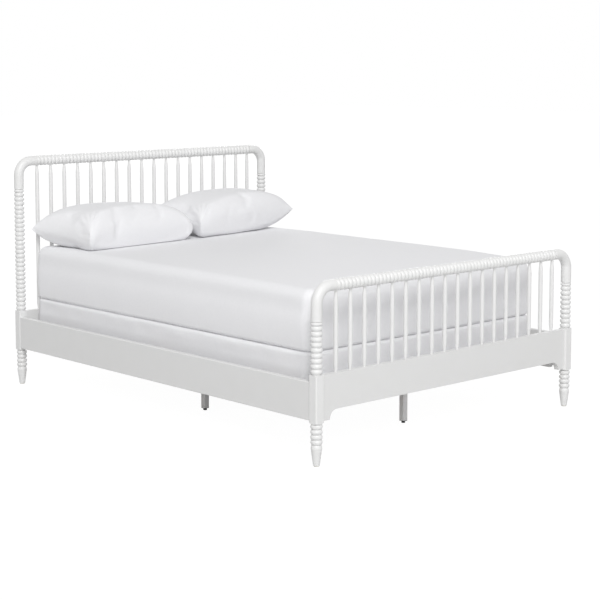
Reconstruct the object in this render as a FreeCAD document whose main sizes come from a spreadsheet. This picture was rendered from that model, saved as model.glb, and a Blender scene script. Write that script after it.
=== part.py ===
import FreeCAD, Part
import math
import os

import Sketcher

# A full-size spindle bed. Millimetres, +Z up, +Y towards the headboard, +X to the sleeper's left
# as seen from the foot. The origin is on the floor, midway between the four posts.
#
# The two bed ends are turned posts with a square block each, joined under the spindles by a
# bracketed panel and over them by a ring-turned top rail that two smooth elbows bring down to
# the posts. The side rails hook into the blocks and carry ledgers, three slats with floor legs,
# a box spring, a mattress and two pillows.

SIZES = (
    # the overall places
    ("post_spacing", 1460, "post axis to post axis across the bed"),
    ("bed_length", 1972, "post axis to post axis from foot to head"),
    ("head_rail_height", 1022, "axis of the headboard's top rail over the floor"),
    ("foot_rail_height", 662, "axis of the footboard's top rail over the floor"),
    # the turning of posts, elbows and top rails
    ("turning_diameter", 43, "the smooth elbows"),
    ("ring_diameter", 45, "crest of the rings, on posts, legs and top rails"),
    ("groove_depth", 6, "depth of the groove between two rings"),
    ("ring_pitch", 20, "from one ring to the next, before whole rings are shared out"),
    ("bead_height", 14, "the single thinner bead under each elbow"),
    ("elbow_bend", 64, "bend radius of an elbow's axis"),
    ("elbow_drop", 126.5, "elbow's foot below the axis of the top rail"),
    ("elbow_reach", 90, "elbow's end inwards from the post axis"),
    ("elbow_edge", 2, "eased edge at both ends of an elbow"),
    ("dowel_diameter", 10, "wooden dowels inside the elbow joints"),
    ("dowel_length", 56, "shared evenly by the two pieces that it joins"),
    ("dowel_gap", 1, "glue space at each end of a dowel"),
    # the block and the leg under it
    ("block_size", 42, "square of the block"),
    ("block_corner", 6, "rounded upright corners of the block"),
    ("block_bottom", 159, "lowest point of the block"),
    ("block_top", 340, "highest point of the block"),
    ("block_shoulder", 13, "height of the rounded shoulder under the block"),
    ("block_brow", 5, "height of the rounded shoulder on top of the block"),
    ("neck_height", 1.5, "plain neck between the block and the rings on either side"),
    ("leg_ring_pitch", 19.25, "from ring to ring on the leg"),
    ("leg_rings", 4, "rings on the leg"),
    ("collar_diameter", 42, "widest part of the tapered foot"),
    ("collar_shoulder", 14, "height of the round shoulder over the collar"),
    ("foot_diameter", 25, "foot of the leg"),
    ("glide_diameter", 21, "nylon glide under the leg"),
    ("glide_thickness", 4, "nylon glide under the leg"),
    ("nail_diameter", 2.5, "the nail that is moulded into the glide"),
    ("nail_length", 18, "the nail that is moulded into the glide"),
    # the panels
    ("panel_thickness", 22, "both panels"),
    ("panel_top", 337, "upper edge of the panel"),
    ("panel_bottom", 202, "lower edge of the panel between its brackets"),
    ("bracket_bottom", 166, "lower edge of the panel beside the post"),
    ("bracket_reach", 57, "from the post axis to the start of the bracket's cove"),
    ("tenon_length", 10, "panel let into the block"),
    ("tenon_shoulder", 8, "panel cut back above and below the tenon"),
    # the spindles
    ("spindle_pairs", 9, "pairs of spindles in each bed end"),
    ("spindle_margin", 97, "from the post axis to the first spindle"),
    ("spindle_diameter", 17.5, "middle of a spindle"),
    ("spindle_end_diameter", 11, "ends of a spindle"),
    ("spindle_low_taper", 28, "length of the lower taper"),
    ("spindle_high_taper", 38, "length of the upper taper"),
    ("spindle_socket", 12, "depth of the holes that take the spindles"),
    ("socket_gap", 0.15, "play round and under wooden tenons"),
    # the side rails and their hooks
    ("rail_height", 143, "side rail"),
    ("rail_thickness", 24, "side rail"),
    ("rail_bottom", 169, "lower edge of the side rail"),
    ("rail_inset", 2, "side rail's face behind the block's face"),
    ("rail_edge", 3, "rounded long edges of the side rail"),
    ("plate_height", 110, "steel hook plates"),
    ("plate_width", 18, "steel hook plates"),
    ("plate_thickness", 3, "steel hook plates"),
    ("hook_thickness", 3, "hooks of the rail plate"),
    ("hook_height", 16, "hooks of the rail plate"),
    ("hook_lip", 8, "lip of a hook behind the post plate"),
    ("hook_pitch", 46, "from hook to hook"),
    ("hook_play", 1, "play of a hook in its slot"),
    ("screw_diameter", 4, "every wood screw"),
    ("head_diameter", 8, "head of every wood screw"),
    ("head_height", 1.8, "head of every wood screw"),
    ("sunk_head", 2, "depth of the seat of a screw head"),
    ("plate_screw", 26, "length of the screws in the hook plates"),
    ("plate_screw_pitch", 94, "between the two screws of a hook plate"),
    # ledgers and slats
    ("ledger_width", 20, "thickness of the ledger, off the side rail"),
    ("ledger_height", 28, "upright side of the ledger"),
    ("ledger_drop", 6, "ledger under the lower edge of the side rail"),
    ("ledger_end_gap", 40, "from the block to the end of the ledger"),
    ("ledger_screws", 8, "screws in each ledger"),
    ("ledger_screw", 34, "length of the screws in the ledgers"),
    ("ledger_screw_margin", 60, "from the ledger's end to its first screw"),
    ("slat_width", 70, "slats"),
    ("slat_thickness", 18, "slats"),
    ("slat_end_gap", 1, "between a slat's end and the side rail"),
    ("slat_margin", 256, "from the post axis to the middle of the foot and head slats"),
    ("slat_screw", 30, "length of the screws that hold the slats"),
    # floor legs under the slats
    ("middle_leg_margin", 278, "from the post axis to a leg of the middle slat, across the bed"),
    ("tube_size", 25, "square steel tube of the floor legs"),
    ("tube_wall", 1.5, "square steel tube of the floor legs"),
    ("tube_corner", 3, "rounded corners of the tube"),
    ("leg_plate_length", 70, "plate on top of a floor leg"),
    ("leg_plate_thickness", 3, "plate on top of a floor leg"),
    ("leg_screw_pitch", 52, "between the two screws of a leg plate"),
    ("leg_screw", 16, "length of the screws in the leg plates"),
    ("insert_depth", 16, "plastic insert in the end of a leg"),
    ("insert_flange", 2, "rim of the insert under the tube"),
    ("leveller_rise", 9, "rim of the insert over the floor"),
    ("leveller_diameter", 16, "pad of a levelling foot"),
    ("leveller_pad", 6, "thickness of the pad"),
    ("stem_diameter", 8, "screw stem of a levelling foot"),
    ("stem_length", 36, "screw stem of a levelling foot"),
    ("stem_gap", 0.3, "play round the stem in its insert"),
    # bedding
    ("bedding_head_gap", 7, "from the headboard's panel to the bedding"),
    ("bedding_foot_gap", 98, "from the footboard's panel to the bedding"),
    ("bedding_left_gap", 60.5, "from the left side rail to the bedding"),
    ("bedding_right_gap", 84.5, "from the right side rail to the bedding"),
    ("bedding_gap", 0.3, "between soft pieces that lie on each other"),
    ("box_spring_height", 185, "box spring"),
    ("box_spring_corner", 50, "upright corners of the box spring"),
    ("box_spring_edge", 10, "long edges of the box spring"),
    ("mattress_height", 236, "mattress"),
    ("mattress_corner", 66, "upright corners of the mattress"),
    ("mattress_edge", 58, "soft long edges of the mattress"),
    ("pillow_length", 676, "pillow across the bed"),
    ("pillow_width", 400, "filled pillow along the bed"),
    ("pillow_height", 184, "filled pillow"),
    ("pillow_top_share", 0.58, "part of a pillow's height over its seam"),
    ("pillow_under_share", 0.42, "part of a pillow's height under its seam"),
    ("pillow_turn", 3, "degrees that both pillows lie askew"),
    ("pillow_gap", 14, "between the two pillows"),
    ("pillow_head_gap", 34, "from the spindles to a pillow"),
)

WORKED_OUT = (
    # places and radii
    ("half_width", "post_spacing / 2"),
    ("half_length", "bed_length / 2"),
    ("half_block", "block_size / 2"),
    ("turning_radius", "turning_diameter / 2"),
    ("ring_radius", "ring_diameter / 2"),
    ("groove_radius", "ring_radius - groove_depth"),
    ("collar_radius", "collar_diameter / 2"),
    ("foot_radius", "foot_diameter / 2"),
    ("glide_radius", "glide_diameter / 2"),
    ("nail_radius", "nail_diameter / 2"),
    ("nail_hole_radius", "nail_radius + 0.1"),
    ("dowel_radius", "dowel_diameter / 2"),
    ("dowel_hole_radius", "dowel_radius + 0.1"),
    ("dowel_hole", "dowel_length / 2 + dowel_gap"),
    # heights on a post
    ("rings_bottom", "block_top + neck_height"),
    ("leg_rings_top", "block_bottom - neck_height"),
    ("leg_rings_bottom", "leg_rings_top - leg_rings * leg_ring_pitch"),
    ("collar_top", "leg_rings_bottom - collar_shoulder"),
    ("head_post_top", "head_rail_height - elbow_drop"),
    ("foot_post_top", "foot_rail_height - elbow_drop"),
    ("head_ring_length", "head_post_top - bead_height - rings_bottom"),
    ("foot_ring_length", "foot_post_top - bead_height - rings_bottom"),
    # radii of the curves on a post
    ("bead_curve", "(bead_height ^ 2 / 4 + groove_depth ^ 2) / (2 * groove_depth)"),
    ("leg_ring_curve", "(leg_ring_pitch ^ 2 / 4 + groove_depth ^ 2) / (2 * groove_depth)"),
    ("collar_rise", "collar_radius - groove_radius"),
    ("collar_curve", "(collar_shoulder ^ 2 + collar_rise ^ 2) / (2 * collar_rise)"),
    ("corner_reach", "half_block * 1.42"),
    ("corner_rise", "corner_reach - turning_radius"),
    ("shoulder_curve", "sqrt(corner_rise ^ 2 + block_shoulder ^ 2) * 0.8"),
    ("brow_curve", "sqrt(corner_rise ^ 2 + block_brow ^ 2) * 0.8"),
    # panels, top rails and spindles
    ("panel_half", "half_width - half_block"),
    ("tenon_half", "panel_half + tenon_length"),
    ("cove_radius", "panel_bottom - bracket_bottom"),
    ("bracket_half", "half_width - bracket_reach"),
    ("cove_half", "bracket_half - cove_radius"),
    ("top_rail_length", "post_spacing - 2 * elbow_reach"),
    ("spindle_radius", "spindle_diameter / 2"),
    ("spindle_end_radius", "spindle_end_diameter / 2"),
    ("socket_radius", "spindle_end_radius + socket_gap"),
    ("spindle_row", "post_spacing - 2 * spindle_margin"),
    ("spindle_pitch", "spindle_row / (2 * spindle_pairs - 1)"),
    # side rails, hooks and screws
    ("side_rail_length", "bed_length - block_size"),
    ("rail_face", "half_width + half_block - rail_inset"),
    ("rail_back", "rail_face - rail_thickness"),
    ("rail_top", "rail_bottom + rail_height"),
    ("rail_centre", "rail_bottom + rail_height / 2"),
    ("rail_offset", "half_block - rail_inset - rail_thickness / 2"),
    ("hook_reach", "plate_thickness + hook_play + hook_lip / 2"),
    ("screw_radius", "screw_diameter / 2"),
    ("head_radius", "head_diameter / 2"),
    ("head_seat_radius", "head_radius + 0.2"),
    ("head_sink", "sunk_head - head_height"),
    ("pilot_radius", "screw_radius + 0.1"),
    # ledgers, slats and floor legs
    ("ledger_bottom", "rail_bottom - ledger_drop"),
    ("ledger_top", "ledger_bottom + ledger_height"),
    ("ledger_length", "side_rail_length - 2 * ledger_end_gap"),
    ("ledger_screw_row", "ledger_length - 2 * ledger_screw_margin"),
    ("ledger_screw_pitch", "ledger_screw_row / (ledger_screws - 1)"),
    ("slat_top", "ledger_top + slat_thickness"),
    ("slat_half", "rail_back - slat_end_gap"),
    ("slat_screw_place", "rail_back - ledger_width / 2"),
    ("slat_spread", "half_length - slat_margin"),
    ("middle_leg_spread", "half_width - middle_leg_margin"),
    ("tube_half", "tube_size / 2"),
    ("tube_inside", "tube_half - tube_wall"),
    ("tube_inner_corner", "tube_corner - tube_wall"),
    ("tube_bottom", "leveller_rise + insert_flange"),
    ("tube_length", "ledger_top - leg_plate_thickness - tube_bottom"),
    ("insert_half", "tube_inside - 0.1"),
    ("leveller_radius", "leveller_diameter / 2"),
    ("stem_radius", "stem_diameter / 2"),
    # bedding
    ("panel_back", "half_length - panel_thickness / 2"),
    ("bedding_half_width", "rail_back - (bedding_left_gap + bedding_right_gap) / 2"),
    ("bedding_half_length", "panel_back - (bedding_head_gap + bedding_foot_gap) / 2"),
    ("bedding_shift", "(bedding_right_gap - bedding_left_gap) / 2"),
    ("bedding_middle", "(bedding_foot_gap - bedding_head_gap) / 2"),
    ("box_spring_bottom", "slat_top + bedding_gap"),
    ("mattress_bottom", "box_spring_bottom + box_spring_height + bedding_gap"),
    ("mattress_top", "mattress_bottom + mattress_height"),
    ("pillow_seam", "mattress_top + bedding_gap + pillow_height * pillow_under_share"),
    ("pillow_spread", "(pillow_length + pillow_gap) / 2"),
    ("pillow_middle", "half_length - spindle_radius - pillow_head_gap - pillow_width / 2"),
)

doc = FreeCAD.newDocument("SpindleBed")
sheet = doc.addObject("Spreadsheet::Sheet", "Dims")
for row, (alias, value, note) in enumerate(SIZES, start=1):
    sheet.set(f"A{row}", alias)
    sheet.set(f"B{row}", str(value))
    sheet.set(f"C{row}", note)
    sheet.setAlias(f"B{row}", alias)
for row, (alias, rule) in enumerate(WORKED_OUT, start=1):
    sheet.set(f"E{row}", alias)
    sheet.set(f"F{row}", "=" + rule)
    sheet.setAlias(f"F{row}", alias)
doc.recompute()


# ---------------------------------------------------------------- sizes as numbers and formulas

def formula(text):
    """A formula of sheet names, plain numbers and + - * / with spaces between, for a property."""
    return " ".join("Dims." + word if word.isidentifier() else word for word in text.split())


def number(text):
    """The value of such a formula now."""
    total, sign, product, divides = 0.0, 1.0, None, False
    for word in text.split():
        if word in ("+", "-"):
            total += sign * (product or 0.0)
            sign, product = (1.0 if word == "+" else -1.0), None
        elif word in ("*", "/"):
            divides = word == "/"
        else:
            factor = float(sheet.get(word)) if word.isidentifier() else float(word)
            if product is None:
                product = factor
            elif divides:
                product /= factor
            else:
                product *= factor
    return total + sign * (product or 0.0)


def bind(item, **rules):
    for name, rule in rules.items():
        item.setExpression(name.replace("__", "."), formula(rule))


# ---------------------------------------------------------------- bodies and sketches

def new_body(label):
    body = doc.addObject("PartDesign::Body", label)
    body.Label = label
    return body


def origin_item(body, role):
    return next(item for item in body.Origin.OriginFeatures if item.Role == role)


def new_sketch(body, plane, offset=None):
    """A sketch on the body's XY, XZ or YZ plane, moved along the plane's normal."""
    sketch = body.newObject("Sketcher::SketchObject", body.Name + "_sketch")
    sketch.AttachmentSupport = [(origin_item(body, plane + "_Plane"), "")]
    sketch.MapMode = "FlatFace"
    if offset:
        bind(sketch, AttachmentOffset__Base__z=offset)
    return sketch


def arc_between(start, end, radius, turn):
    """The short arc from start to end: turn 1 runs anticlockwise, -1 clockwise."""
    chord = end - start
    middle = (start + end) * 0.5
    rise = math.sqrt(max(radius * radius - chord.Length * chord.Length / 4, 0.0))
    normal = FreeCAD.Vector(-chord.y, chord.x, 0).normalize()
    centre = middle + normal * (rise * turn)
    first, last = (start, end) if turn > 0 else (end, start)
    from_angle = math.atan2(first.y - centre.y, first.x - centre.x)
    to_angle = math.atan2(last.y - centre.y, last.x - centre.x)
    return Part.ArcOfCircle(Part.Circle(centre, FreeCAD.Vector(0, 0, 1), radius), from_angle, to_angle)


def pin_point(sketch, rules, item, end, x_rule, y_rule):
    """Constraints that hold one point of a sketch at two formulas, or on an axis for "0"."""
    if x_rule == "0":
        sketch.addConstraint(Sketcher.Constraint("PointOnObject", item, end, -2))
    else:
        place = number(x_rule)
        rules.append((sketch.addConstraint(
            Sketcher.Constraint("DistanceX", -1, 1, item, end, place)), x_rule))
    if y_rule == "0":
        sketch.addConstraint(Sketcher.Constraint("PointOnObject", item, end, -1))
    else:
        place = number(y_rule)
        rules.append((sketch.addConstraint(
            Sketcher.Constraint("DistanceY", -1, 1, item, end, place)), y_rule))


def bind_rules(sketch, rules):
    for index, rule in rules:
        sketch.setExpression(f"Constraints[{index}]", formula(rule))


def outline(sketch, corners):
    """A closed outline. A corner is (x, y), or (x, y, radius, turn) where an arc leaves it."""
    points = [FreeCAD.Vector(number(corner[0]), number(corner[1]), 0) for corner in corners]
    first = sketch.GeometryCount
    starts, ends, arcs = [], [], []
    for index, corner in enumerate(corners):
        here, there = points[index], points[(index + 1) % len(points)]
        if len(corner) == 2:
            sketch.addGeometry(Part.LineSegment(here, there), False)
            starts.append(1)
            ends.append(2)
        else:
            sketch.addGeometry(arc_between(here, there, number(corner[2]), corner[3]), False)
            arcs.append((first + index, corner[2]))
            starts.append(1 if corner[3] > 0 else 2)
            ends.append(2 if corner[3] > 0 else 1)
    joints = []
    for index in range(len(corners)):
        after = (index + 1) % len(corners)
        joints.append(Sketcher.Constraint(
            "Coincident", first + index, ends[index], first + after, starts[after]))
    sketch.addConstraint(joints)
    rules = []
    for index, corner in enumerate(corners):
        pin_point(sketch, rules, first + index, starts[index], corner[0], corner[1])
    for item, rule in arcs:
        rules.append((sketch.addConstraint(
            Sketcher.Constraint("Radius", item, number(rule))), rule))
    bind_rules(sketch, rules)


def circle(sketch, x_rule, y_rule, radius_rule):
    centre = FreeCAD.Vector(number(x_rule), number(y_rule), 0)
    item = sketch.addGeometry(
        Part.Circle(centre, FreeCAD.Vector(0, 0, 1), number(radius_rule)), False)
    rules = []
    pin_point(sketch, rules, item, 3, x_rule, y_rule)
    rules.append((sketch.addConstraint(
        Sketcher.Constraint("Radius", item, number(radius_rule))), radius_rule))
    bind_rules(sketch, rules)


def rectangle(sketch, low_x, high_x, low_y, high_y):
    outline(sketch, [(low_x, low_y), (high_x, low_y), (high_x, high_y), (low_x, high_y)])


def rounded_square(sketch, half, corner):
    """A square round the sketch's origin with rounded corners."""
    flat = f"{half} - {corner}"
    minus_half, minus_flat = f"- {half}", f"- {half} + {corner}"
    outline(sketch, [
        (minus_flat, minus_half), (flat, minus_half, corner, 1),
        (half, minus_flat), (half, flat, corner, 1),
        (flat, half), (minus_flat, half, corner, 1),
        (minus_half, flat), (minus_half, minus_flat, corner, 1),
    ])


# ---------------------------------------------------------------- features

def revolve(body, sketch):
    feature = body.newObject("PartDesign::Revolution", body.Name + "_turning")
    feature.Profile = sketch
    feature.ReferenceAxis = (sketch, ["V_Axis"])
    feature.Angle = 360
    return feature


def turned_away(body, sketch):
    feature = body.newObject("PartDesign::Groove", body.Name + "_groove")
    feature.Profile = sketch
    feature.ReferenceAxis = (sketch, ["V_Axis"])
    feature.Angle = 360
    return feature


def pad(body, sketch, length):
    feature = body.newObject("PartDesign::Pad", body.Name + "_pad")
    feature.Profile = sketch
    bind(feature, Length=length)
    return feature


def pocket(body, sketch, depth, along_normal=False):
    """A cut against the sketch's normal, or along it."""
    feature = body.newObject("PartDesign::Pocket", body.Name + "_pocket")
    feature.Profile = sketch
    feature.Reversed = along_normal
    bind(feature, Length=depth)
    return feature


def repeat(body, features, axis, length, count):
    """The same cuts again in a row along one of the body's axes."""
    pattern = body.newObject("PartDesign::LinearPattern", body.Name + "_row")
    pattern.Originals = features
    pattern.Direction = (origin_item(body, axis + "_Axis"), [""])
    bind(pattern, Length=length, Occurrences=count)
    body.Tip = pattern
    return pattern


def ease(body, radius, chosen):
    """Rounds the edges of the body so far that the test picks."""
    doc.recompute()
    base = body.Tip
    names = [f"Edge{index}" for index, edge in enumerate(base.Shape.Edges, start=1) if chosen(edge)]
    fillet = body.newObject("PartDesign::Fillet", body.Name + "_ease")
    fillet.Base = (base, names)
    bind(fillet, Radius=radius)
    return fillet


def level(edge):
    return edge.BoundBox.ZLength < 1e-6


def place(item, x_rule="0", y_rule="0", z_rule="0", turn=None):
    """Puts a piece in its place: an optional turn as (axis, degrees), then three formulas."""
    if turn:
        item.Placement = FreeCAD.Placement(FreeCAD.Vector(), FreeCAD.Rotation(turn[0], turn[1]))
    bind(item, Placement__Base__x=x_rule, Placement__Base__y=y_rule, Placement__Base__z=z_rule)


UP = FreeCAD.Vector(0, 0, 1)
ACROSS = FreeCAD.Vector(1, 0, 0)
ALONG = FreeCAD.Vector(0, 1, 0)

kept = []


def keep(item):
    kept.append(item)
    return item


def group(label, template, places):
    """One node of several equal solids, each a link to the template in its own place."""
    links = []
    for index, where in enumerate(places, start=1):
        link = doc.addObject("App::Link", f"{label}_{index}")
        link.LinkedObject = template
        place(link, *where)
        links.append(link)
    compound = doc.addObject("Part::Compound", label)
    compound.Label = label
    compound.Links = links
    return keep(compound)


# ---------------------------------------------------------------- ring turning

def ring_stack(sketch, start, length, bead=None):
    """Outline of a turned stretch beside the sketch's upright axis: equal rings, then a bead.

    The rings share the length evenly, in as many whole rings as come nearest to the pitch.
    """
    count = max(1, round(number(length) / number("ring_pitch")))
    pitch = number(length) / count
    depth, inner, low = number("groove_depth"), number("groove_radius"), number(start)
    curve = (pitch * pitch / 4 + depth * depth) / (2 * depth)
    points = [FreeCAD.Vector(inner, low + pitch * index, 0) for index in range(count + 1)]
    chords = [Part.LineSegment(points[index], points[index + 1]) for index in range(count)]
    rings = [arc_between(points[index], points[index + 1], curve, 1) for index in range(count)]
    sketch.addGeometry(rings, False)
    sketch.addGeometry(chords, True)
    holds = []
    for index in range(count):
        chord = count + index
        holds.append(Sketcher.Constraint("Coincident", index, 1, chord, 1))
        holds.append(Sketcher.Constraint("Coincident", index, 2, chord, 2))
        holds.append(Sketcher.Constraint("Vertical", chord))
        if index:
            holds.append(Sketcher.Constraint("Coincident", chord - 1, 2, chord, 1))
            holds.append(Sketcher.Constraint("Equal", count, chord))
            holds.append(Sketcher.Constraint("Equal", 0, index))
    sketch.addConstraint(holds)
    top = points[-1]
    last, last_end = count - 1, 2
    rules = []
    if bead:
        bead_top = top + FreeCAD.Vector(0, number(bead), 0)
        item = sketch.addGeometry(arc_between(top, bead_top, number("bead_curve"), 1), False)
        sketch.addConstraint(Sketcher.Constraint("Coincident", item, 1, last, 2))
        rules.append((sketch.addConstraint(
            Sketcher.Constraint("Radius", item, number("bead_curve"))), "bead_curve"))
        top, last = bead_top, item
    closing = sketch.GeometryCount
    axis_top, axis_low = FreeCAD.Vector(0, top.y, 0), FreeCAD.Vector(0, low, 0)
    sketch.addGeometry([
        Part.LineSegment(top, axis_top),
        Part.LineSegment(axis_top, axis_low),
        Part.LineSegment(axis_low, points[0]),
    ], False)
    sketch.addConstraint([
        Sketcher.Constraint("Coincident", last, last_end, closing, 1),
        Sketcher.Constraint("Coincident", closing, 2, closing + 1, 1),
        Sketcher.Constraint("Coincident", closing + 1, 2, closing + 2, 1),
        Sketcher.Constraint("Coincident", closing + 2, 2, 0, 1),
        Sketcher.Constraint("Horizontal", closing),
        Sketcher.Constraint("Horizontal", closing + 2),
        Sketcher.Constraint("PointOnObject", closing, 2, -2),
        Sketcher.Constraint("PointOnObject", closing + 1, 2, -2),
    ])
    chord_rule = f"{length} / {count}"
    curve_rule = f"{length} / {count} * {length} / {count} / 8 / groove_depth + groove_depth / 2"
    for hold, rule in (
        (Sketcher.Constraint("DistanceY", count, 1, count, 2, pitch), chord_rule),
        (Sketcher.Constraint("Radius", 0, curve), curve_rule),
        (Sketcher.Constraint("DistanceX", -1, 1, 0, 1, inner), "groove_radius"),
        (Sketcher.Constraint("DistanceY", -1, 1, 0, 1, low), start),
    ):
        rules.append((sketch.addConstraint(hold), rule))
    if bead:
        rules.append((sketch.addConstraint(Sketcher.Constraint(
            "DistanceY", closing - 1, 1, closing - 1, 2, number(bead))), bead))
        sketch.addConstraint(Sketcher.Constraint("Vertical", closing - 1, 1, closing - 1, 2))
    bind_rules(sketch, rules)


# ---------------------------------------------------------------- posts, elbows and top rails

def leg_corners():
    """The turned leg from the nail hole out, up over the foot and the rings, to the axis."""
    corners = [
        ("nail_hole_radius", "glide_thickness"),
        ("foot_radius", "glide_thickness"),
        ("collar_radius", "collar_top", "collar_curve", 1),
    ]
    for ring in range(int(number("leg_rings"))):
        corners.append(
            ("groove_radius", f"leg_rings_bottom + {ring} * leg_ring_pitch", "leg_ring_curve", 1))
    corners += [
        ("groove_radius", "leg_rings_top"),
        ("groove_radius", "rings_bottom"),
        ("0", "rings_bottom"),
        ("0", "glide_thickness + nail_length + 0.5"),
        ("nail_hole_radius", "glide_thickness + nail_length + 0.5"),
    ]
    return corners


def make_post(label, post_top, ring_length, hand, where):
    """A post: leg, block, rings and bead. Its panel is on the side of hand, its rail on -Y."""
    body = new_body(label)
    leg = new_sketch(body, "XZ")
    outline(leg, leg_corners())
    revolve(body, leg)
    shaft = new_sketch(body, "XZ")
    ring_stack(shaft, "rings_bottom", ring_length, "bead_height")
    revolve(body, shaft)

    square = new_sketch(body, "XY", "block_bottom")
    rounded_square(square, "half_block", "block_corner")
    pad(body, square, "block_top - block_bottom")
    shoulders = new_sketch(body, "XZ")
    outline(shoulders, [
        ("turning_radius", "block_bottom", "shoulder_curve", 1),
        ("corner_reach", "block_bottom + block_shoulder"),
        ("corner_reach + 5", "block_bottom + block_shoulder"),
        ("corner_reach + 5", "block_bottom - 1"),
        ("turning_radius", "block_bottom - 1"),
    ])
    outline(shoulders, [
        ("turning_radius", "block_top + 1"),
        ("corner_reach + 5", "block_top + 1"),
        ("corner_reach + 5", "block_top - block_brow"),
        ("corner_reach", "block_top - block_brow", "brow_curve", 1),
        ("turning_radius", "block_top"),
    ])
    turned_away(body, shoulders)

    dowel = new_sketch(body, "XY", post_top)
    circle(dowel, "0", "0", "dowel_hole_radius")
    pocket(body, dowel, "dowel_hole")

    mortise = new_sketch(body, "YZ", "half_block" if hand > 0 else "- half_block")
    rectangle(mortise, "- panel_thickness / 2 - socket_gap", "panel_thickness / 2 + socket_gap",
              "bracket_bottom + tenon_shoulder - socket_gap", "panel_top - tenon_shoulder + socket_gap")
    pocket(body, mortise, "tenon_length + socket_gap", along_normal=hand < 0)

    rail_axis = "- rail_offset" if hand > 0 else "rail_offset"
    seat = new_sketch(body, "XZ", "half_block")
    rectangle(seat, f"{rail_axis} - plate_width / 2", f"{rail_axis} + plate_width / 2",
              "rail_centre - plate_height / 2", "rail_centre + plate_height / 2")
    pocket(body, seat, "plate_thickness")
    hollow = new_sketch(body, "XZ", "half_block")
    rectangle(hollow, f"{rail_axis} - hook_thickness", f"{rail_axis} + hook_thickness",
              "rail_centre - hook_pitch / 2 - hook_height / 2 - hook_lip - hook_play",
              "rail_centre + hook_pitch / 2 + hook_height / 2 + hook_lip + hook_play")
    pocket(body, hollow, "hook_reach + hook_play")
    pilots = new_sketch(body, "XZ", "half_block")
    circle(pilots, rail_axis, "rail_centre - plate_screw_pitch / 2", "pilot_radius")
    circle(pilots, rail_axis, "rail_centre + plate_screw_pitch / 2", "pilot_radius")
    pocket(body, pilots, "plate_screw + 1")
    place(body, *where)
    return keep(body)


def make_elbow(label, where):
    """A smooth elbow: up from its post, round the bend and inwards to the top rail."""
    body = new_body(label)
    path = new_sketch(body, "XZ")
    straight = number("elbow_drop - elbow_bend")
    bend = number("elbow_bend")
    bend_start = FreeCAD.Vector(0, straight, 0)
    bend_end = FreeCAD.Vector(bend, straight + bend, 0)
    path.addGeometry([
        Part.LineSegment(FreeCAD.Vector(), bend_start),
        arc_between(bend_start, bend_end, bend, -1),
        Part.LineSegment(bend_end, FreeCAD.Vector(number("elbow_reach"), straight + bend, 0)),
    ], False)
    path.addConstraint([
        Sketcher.Constraint("Coincident", 0, 1, -1, 1),
        Sketcher.Constraint("Vertical", 0),
        Sketcher.Constraint("Tangent", 0, 2, 1, 2),
        Sketcher.Constraint("Tangent", 1, 1, 2, 1),
        Sketcher.Constraint("Horizontal", 2),
    ])
    rules = []
    for hold, rule in (
        (Sketcher.Constraint("Radius", 1, bend), "elbow_bend"),
        (Sketcher.Constraint("DistanceY", -1, 1, 2, 2, number("elbow_drop")), "elbow_drop"),
        (Sketcher.Constraint("DistanceX", -1, 1, 2, 2, number("elbow_reach")), "elbow_reach"),
    ):
        rules.append((path.addConstraint(hold), rule))
    bind_rules(path, rules)
    section = new_sketch(body, "XY")
    circle(section, "0", "0", "turning_radius")
    pipe = body.newObject("PartDesign::AdditivePipe", label + "_pipe")
    pipe.Profile = section
    pipe.Spine = path
    ease(body, "elbow_edge", lambda edge: (
        edge.Closed and edge.BoundBox.ZMax < 1e-6 or edge.BoundBox.XMin > number("elbow_reach") - 1e-6))
    foot = new_sketch(body, "XY")
    circle(foot, "0", "0", "dowel_hole_radius")
    pocket(body, foot, "dowel_hole", along_normal=True)
    end = new_sketch(body, "YZ", "elbow_reach")
    circle(end, "0", "elbow_drop", "dowel_hole_radius")
    pocket(body, end, "dowel_hole")
    place(body, *where)
    return keep(body)


def make_top_rail(label, height, end_place):
    """A ring-turned rail with dowel holes in its ends and a row of spindle holes under it."""
    body = new_body(label)
    turning = new_sketch(body, "XZ")
    ring_stack(turning, "- top_rail_length / 2", "top_rail_length")
    revolve(body, turning)
    for offset, along_normal in (("top_rail_length / 2", False), ("- top_rail_length / 2", True)):
        end = new_sketch(body, "XY", offset)
        circle(end, "0", "0", "dowel_hole_radius")
        pocket(body, end, "dowel_hole", along_normal)
    hole = new_sketch(body, "YZ", "ring_radius")
    circle(hole, "0", "- spindle_row / 2", "socket_radius")
    first = pocket(body, hole, "spindle_socket")
    repeat(body, [first], "Z", "spindle_row", "2 * spindle_pairs")
    place(body, "0", end_place, height, turn=(ALONG, 90))
    return keep(body)


# ---------------------------------------------------------------- panels and spindles

def make_panel(label, where):
    """A panel with a cove-cut bracket at each end, tenoned into the blocks."""
    body = new_body(label)
    front = new_sketch(body, "XZ", "- panel_thickness / 2")
    left = [
        ("- panel_half", "panel_top"),
        ("- panel_half", "panel_top - tenon_shoulder"),
        ("- tenon_half", "panel_top - tenon_shoulder"),
        ("- tenon_half", "bracket_bottom + tenon_shoulder"),
        ("- panel_half", "bracket_bottom + tenon_shoulder"),
        ("- panel_half", "bracket_bottom"),
        ("- bracket_half", "bracket_bottom", "cove_radius", -1),
        ("- cove_half", "panel_bottom"),
    ]
    right = [(corner[0][2:], corner[1]) for corner in reversed(left)]
    right[0] += ("cove_radius", -1)
    outline(front, left + right)
    pad(body, front, "panel_thickness")
    hole = new_sketch(body, "XY", "panel_top")
    circle(hole, "- spindle_row / 2", "0", "socket_radius")
    first = pocket(body, hole, "spindle_socket")
    repeat(body, [first], "X", "spindle_row", "2 * spindle_pairs")
    place(body, *where)
    return keep(body)


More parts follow.
